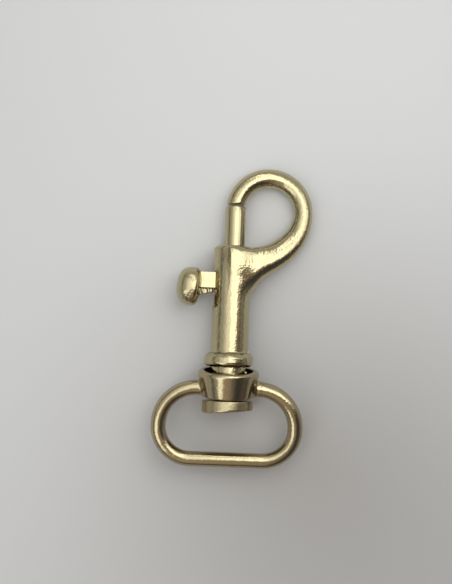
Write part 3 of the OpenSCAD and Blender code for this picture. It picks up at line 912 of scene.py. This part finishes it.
steel, drawn = new_material("spring_steel")
steel_shader = drawn.nodes["Principled BSDF"]
steel_shader.inputs["Metallic"].default_value = 1.0
steel_shader.inputs["Roughness"].default_value = STEEL_ROUGH
steel_place = add_node(drawn, "ShaderNodeTexCoord")
steel_tone = add_node(drawn, "ShaderNodeValToRGB")
steel_tone.color_ramp.elements[0].color = STEEL_DARK
steel_tone.color_ramp.elements[1].color = STEEL_PALE
drawn.links.new(noise(drawn, steel_place.outputs["Object"], STEEL_NOISE), steel_tone.inputs["Fac"])
drawn.links.new(steel_tone.outputs["Color"], steel_shader.inputs["Base Color"])
bolt_spring.data.materials.append(steel)
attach(bolt_spring, "hook")
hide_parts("bolt_spring")
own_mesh(bolt_spring)

# Swivel rivet
# Cast rivet whose shank is pressed up into the neck. Its head, left slanting by the sprue that was
# broken off, holds the hub on the neck.
RIVET_R = 5.24
RIVET_TOP, RIVET_LOW = NECK_END, -11.90
RIVET_HEAD_EDGE, RIVET_FACE_EDGE = 0.15, 0.45
RIVET_SLOPE = math.tan(math.radians(4.2))
# The broken face: size of its dents and of its grain, and the waves that make them up
RIVET_DENTS, RIVET_GRAIN = 0.05, 0.04
RIVET_DENT_WAVES = ((1.3, 0, 0, 0.7), (0, 0, 1.1, math.pi / 2))
RIVET_GRAIN_WAVES = ((2.9, 0, 1.7, 0), (-0.8, 0, 2.3, 0))
# The head is turned from this far below its face, and the shank from this far inside the head
RIVET_SPARE, SHANK_IN_HEAD = 1.5, 0.5
RIVET_END = -1.5
RIVET_SHANK_EDGE = 0.2
RIVET_FILLET = 0.2
RIVET_BOX = ((-5.6, -13.0, -5.6), (5.6, -1.2, 5.6))
RIVET_CELL = 0.12


def rivet_field(x, y, z):
    """Head with its slanting face, and shank."""
    uneven = RIVET_DENTS * wave(x, y, z, RIVET_DENT_WAVES[0]) * wave(x, y, z, RIVET_DENT_WAVES[1])
    grain = RIVET_GRAIN * wave(x, y, z, RIVET_GRAIN_WAVES[0]) * wave(x, y, z, RIVET_GRAIN_WAVES[1])
    uneven = uneven + grain
    head = turned_bar(np.hypot(x, z), y, RIVET_LOW - RIVET_SPARE, RIVET_TOP, RIVET_R, RIVET_HEAD_EDGE)
    head = blend_common(head, RIVET_LOW + RIVET_SLOPE * x + uneven - y, RIVET_FACE_EDGE)
    shank_low = RIVET_TOP - SHANK_IN_HEAD
    shank = turned_bar(np.hypot(x - BOLT_ASIDE, z), y, shank_low, RIVET_END, BORE_R, RIVET_SHANK_EDGE)
    return blend_union(head, shank, RIVET_FILLET)


swivel_rivet = cast_skin("swivel_rivet", rivet_field, RIVET_BOX, RIVET_CELL, body_lie)
swivel_rivet.data.materials.append(
    plated("rivet_plating", tarnish=0.5, polish=0.22, ripple=1.2, grain=2.0, flank=0.6)
)
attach(swivel_rivet, "hook")
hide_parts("swivel_rivet")

# Swivel loop
# One casting: the cone-shaped hub with its hollow, and the oval eye of round wire for the webbing. It
# turns on the neck, under the flange, and lies as far over as its play lets it.

# Its stations run from the middle of the hub's floor
HUB_FOOT, HUB_MOUTH = -0.65, 4.75
HUB_FOOT_R, HUB_MOUTH_R = 5.35, 6.45
HUB_LIP, HUB_FOOT_EDGE = 1.0, 0.3
HUB_HOLLOW_R = 5.0
HUB_HOLLOW_EDGE = 0.3
HUB_FLOOR = 0.65
HUB_HOLE_R = 3.675
HUB_HOLE_EDGE = 0.2
EYE_WIRE_R = 1.55
EYE_HALF = 14.048
EYE_ARM, EYE_BAR = 1.0, -13.845
EYE_HUB_CORNER, EYE_BAR_CORNER = 7.9, 6.65
# A low collar where the right arm leaves the hub: how far it stands out, its end and its fillet
COLLAR, COLLAR_OUTSET, COLLAR_END, COLLAR_FILLET = 0.06, 0.02, 6.8, 0.05
# Fillets of the left and the right arm on the hub
ARM_FILLETS = (0.35, 0.6)
LOOP_TILT = math.radians(4)
LOOP_BOX = ((-16.0, -15.9, -6.8), (16.0, 5.2, 6.8))
LOOP_CELL = 0.14

loop_lie = lie(Vector((0, math.cos(LOOP_TILT), math.sin(LOOP_TILT))), hub_place)


def eye_field(x, y, z):
    """The eye's round wire, along a rounded oblong."""
    upper = y > (EYE_ARM - EYE_HUB_CORNER + EYE_BAR + EYE_BAR_CORNER) / 2
    corner = np.where(upper, EYE_HUB_CORNER, EYE_BAR_CORNER)
    centre = np.where(upper, EYE_ARM - EYE_HUB_CORNER, EYE_BAR + EYE_BAR_CORNER)
    over = np.maximum(np.abs(x) - (EYE_HALF - corner), 0)
    past = np.maximum(np.where(upper, y - centre, centre - y), 0)
    flat = np.abs(np.hypot(over, past) - corner)
    return np.hypot(flat, z) - EYE_WIRE_R


def hub_field(x, y, z):
    """The hub's cone with its rounded lip."""
    r = np.hypot(x, z)
    slant = (HUB_MOUTH_R - HUB_FOOT_R) / (HUB_MOUTH - HUB_FOOT)
    cone = (r - HUB_FOOT_R - slant * (y - HUB_FOOT)) / math.hypot(1, slant)
    return blend_common(blend_common(cone, y - HUB_MOUTH, HUB_LIP), HUB_FOOT - y, HUB_FOOT_EDGE)


def loop_field(x, y, z):
    """Hub and eye in one, with the hub hollowed and bored."""
    r = np.hypot(x, z)
    collar_side = np.hypot(y - EYE_ARM, z) - EYE_WIRE_R - COLLAR
    collar = np.maximum(collar_side, np.maximum(-x, x - COLLAR_END)) - COLLAR_OUTSET
    eye = blend_union(eye_field(x, y, z), collar, COLLAR_FILLET)
    solid = blend_union(hub_field(x, y, z), eye, np.where(x < 0, *ARM_FILLETS))
    solid = blend_cut(solid, np.maximum(r - HUB_HOLLOW_R, HUB_FLOOR - y), HUB_HOLLOW_EDGE)
    return blend_cut(solid, np.maximum(r - HUB_HOLE_R, HUB_FOOT - TOOL_PAST - y), HUB_HOLE_EDGE)


swivel_loop = cast_skin("swivel_loop", loop_field, LOOP_BOX, LOOP_CELL, loop_lie)
swivel_loop.data.materials.append(
    plated("loop_plating", tarnish=0.3, polish=0.06, ripple=1.0, grain=1.3, flank=0.8)
)
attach(swivel_loop, "swivel")
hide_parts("swivel_loop")
